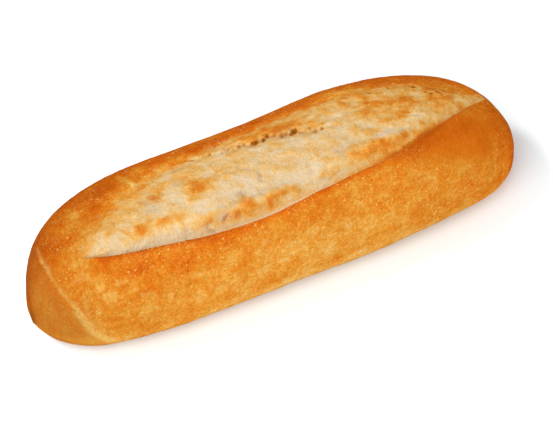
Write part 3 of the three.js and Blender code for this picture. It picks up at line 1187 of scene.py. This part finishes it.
# the crumb, in the same way
inside = {
    "colours": (
        (0.0, (0.525, 0.398, 0.245, 1)),
        (0.2, (0.535, 0.357, 0.162, 1)),
        (0.42, (0.525, 0.288, 0.078, 1)),
        (0.65, (0.505, 0.205, 0.03, 1)),
        (0.85, (0.45, 0.135, 0.012, 1)),
        (1.0, (0.42, 0.115, 0.01, 1)),
    ),
    "paintedShadeColour": (0.37, 0.275, 0.185, 1),
    "holeShadeColour": (0.2, 0.052, 0.003, 1),
    "mottleSize": 5.0,
    "patchSize": 1.6,
    "fleckSize": 0.7,
    "mottleAmount": 1.1,
    "patchAmount": 0.45,
    "fleckAmount": 0.42,
    "hollowShadeAmount": 0.75,
    # strands show from the reach to the lip, with painted shade where their noise is low
    "strandFade": (0.05, 0.75),
    "strandStrength": (0.5, 0.32, 0, 0.7),
    "strandShare": (0.4, 0.54),
    "holeShade": (0.05, 0.7),
}
crumbMottle = noiseAt(inside["mottleSize"], 3, 0.5, 0.4)
crumbPatch = noiseAt(inside["patchSize"], 3, 0.6, 0.3)
crumbFleck = noiseAt(inside["fleckSize"], 3, 0.6)
toastParts = (
    (crumbMottle, inside["mottleAmount"]),
    (crumbPatch, inside["patchAmount"]),
    (crumbFleck, inside["fleckAmount"]),
)
crumbColour = ramp(summed(attribute("toast"), toastParts), inside["colours"])

nearLip = attribute("nearLip")
alongX = addNode("SeparateXYZ", {0: place}, "X")
strandX = divide(alongX, strand["width"] * mm)
strandY = multiply(nearLip, strand["reach"] / strand["length"])
strandPlace = addNode("CombineXYZ", {"X": strandX, "Y": strandY}, 0)
strandInputs = {"Vector": strandPlace, "Scale": 1.0, "Detail": 2.0, "Distortion": 0.3}
strands = addNode("TexNoise", strandInputs, "Fac")
strandFade = multiply(between(nearLip, *inside["strandFade"]), attribute("stringy"))
# painted shade between the strands
strandShade = multiply(between(strands, *inside["strandStrength"]), strandFade)
strandShade = multiply(strandShade, between(crumbMottle, *inside["strandShare"]))
# painted shade: hollows and the gaps between strands drawn grey
paintedShadeAll = larger(multiply(attribute("grey"), inside["hollowShadeAmount"]), strandShade)
crumbColour = blend(paintedShadeAll, crumbColour, inside["paintedShadeColour"])
# painted shade: the holes, cracks and torn line drawn dark brown
holeShade = between(attribute("pore"), *inside["holeShade"])
crumbColour = blend(holeShade, crumbColour, inside["holeShadeColour"])

# crust and crumb together, with fine flecks over them
surface = {
    "fineSize": 0.45,
    "fineAmount": 0.95,
    "coarseSize": 1.1,
    "coarseAmount": 0.5,
    # how much the flecks show on crust and crumb, and on smooth and rough skin
    "onCrumb": (0, 1, 1, 0.55),
    "onSkin": (0.1, 1, 0.5, 1),
    # even part of the shade, and what all of it is divided by
    "even": 1.2,
    "divisor": 1.25,
    "roughness": (0, 1, 0.48, 0.8),
    # small bumps, their heights as shares of the distance
    "bumpDistance": 0.25,
    "bumpStrength": 0.6,
    "patchBump": 0.5,
    "fleckBump": 0.4,
    "blisterBump": 0.25,
    "crumbMottleBump": 1.0,
    "crumbPatchBump": 0.8,
    "crumbFleckBump": 1.3,
    "strandBump": 1.6,
}
skinColour = blend(crumbShows, crustColour, crumbColour)
shadeParts = (
    (noiseAt(surface["fineSize"], 2, 0.6), surface["fineAmount"]),
    (noiseAt(surface["coarseSize"], 2, 0.5), surface["coarseAmount"]),
)
shadeAmount = between(crumbShows, *surface["onCrumb"])
shadeAmount = multiply(shadeAmount, between(texture, *surface["onSkin"]))
shade = add(multiply(summed(0.0, shadeParts), shadeAmount), surface["even"])
shade = multiply(shade, toneAndPaintedLight["most"] / surface["divisor"])
# the tone attribute multiplies in the painted light and shade
shade = multiply(shade, attribute("tone"))
skinColour = addNode("VectorMath", {0: skinColour, "Scale": shade}, 0, operation="SCALE")
links.new(skinColour, shader.inputs["Base Color"])

crustBumps = ((patch, surface["patchBump"]), (fleck, surface["fleckBump"]))
crustHeight = add(summed(0.0, crustBumps), multiply(blister, surface["blisterBump"]))
crumbBumps = (
    (crumbMottle, surface["crumbMottleBump"]),
    (crumbPatch, surface["crumbPatchBump"]),
    (crumbFleck, surface["crumbFleckBump"]),
)
strandHeight = multiply(multiply(strands, surface["strandBump"]), strandFade)
crumbHeight = add(summed(0.0, crumbBumps), strandHeight)
heightInputs = {"Factor": crumbShows, "A": crustHeight, "B": crumbHeight}
bumpInputs = {
    "Height": addNode("Mix", heightInputs, "Result"),
    "Distance": surface["bumpDistance"] * mm,
    "Strength": surface["bumpStrength"],
}
links.new(addNode("Bump", bumpInputs, "Normal"), shader.inputs["Normal"])
roughness = between(crumbShows, *surface["roughness"])
links.new(roughness, shader.inputs["Roughness"])
shader.inputs["Specular IOR Level"].default_value = 0.0
mesh.materials.append(crust)
print("finish made")

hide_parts("roll")
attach(roll, "root")

# floor, light and camera
ground = {"size": 6.0, "colour": (0.885, 0.933, 0.945, 1), "roughness": 0.9}
deselectAll()
bpy.ops.mesh.primitive_plane_add(size=ground["size"], location=(0, 0, 0))
floor = bpy.context.object
floor.name = "paleFloor"
floorFinish = bpy.data.materials.new("paleFloor")
floorFinish.use_nodes = True
floorShader = floorFinish.node_tree.nodes["Principled BSDF"]
floorShader.inputs["Base Color"].default_value = ground["colour"]
floorShader.inputs["Roughness"].default_value = ground["roughness"]
floorShader.inputs["Specular IOR Level"].default_value = 0.0
floor.data.materials.append(floorFinish)

light = {
    "dome": 0.46,
    # azimuth, elevation, distance, size and power of each soft light
    "softKey": (-119, 51, 1.1, 0.3, 6.7),
    "softFill": (-45, 35, 1.1, 1.2, 19.8),
}


def direction(azimuth, elevation):
    # azimuth 0 looks from -Y, as the camera's does
    a, e = math.radians(azimuth), math.radians(elevation)
    return Vector((math.sin(a) * math.cos(e), -math.cos(a) * math.cos(e), math.sin(e)))


world = bpy.data.worlds.new("softDome")
bpy.context.scene.world = world
world.use_nodes = True
dome = world.node_tree.nodes["Background"]
dome.inputs["Color"].default_value = (1, 1, 1, 1)
dome.inputs["Strength"].default_value = light["dome"]

for name in ("softKey", "softFill"):
    azimuth, elevation, distance, size, power = light[name]
    toLight = direction(azimuth, elevation)
    bpy.ops.object.light_add(type="AREA", location=toLight * distance)
    lamp = bpy.context.object
    lamp.name = name
    lamp.data.energy = power
    lamp.data.size = size
    lamp.rotation_euler = toLight.to_track_quat("Z", "Y").to_euler()

view = {
    "azimuth": -28.669,
    "elevation": 46.0,
    "distance": 1.1,
    "nearest": 0.01,
    "lens": 215.2,
    "sensor": 36.0,
    # where the middle of the picture falls, right of and above the roll's middle
    "middle": (0, -0.00148, 0.021),
    "right": 0.000737,
    "up": -0.008512,
}
toCamera = direction(view["azimuth"], view["elevation"])
turned = math.radians(view["azimuth"])
rightward = Vector((math.cos(turned), math.sin(turned), 0))
upward = toCamera.cross(rightward)
target = Vector(view["middle"]) + rightward * view["right"] + upward * view["up"]
bpy.ops.object.camera_add(location=target + toCamera * view["distance"])
camera = bpy.context.object
camera.rotation_euler = toCamera.to_track_quat("Z", "Y").to_euler()
camera.data.sensor_width = view["sensor"]
camera.data.lens = view["lens"]
camera.data.clip_start = view["nearest"]
bpy.context.scene.camera = camera
bpy.context.scene.view_settings.view_transform = "Standard"
print("stage set")
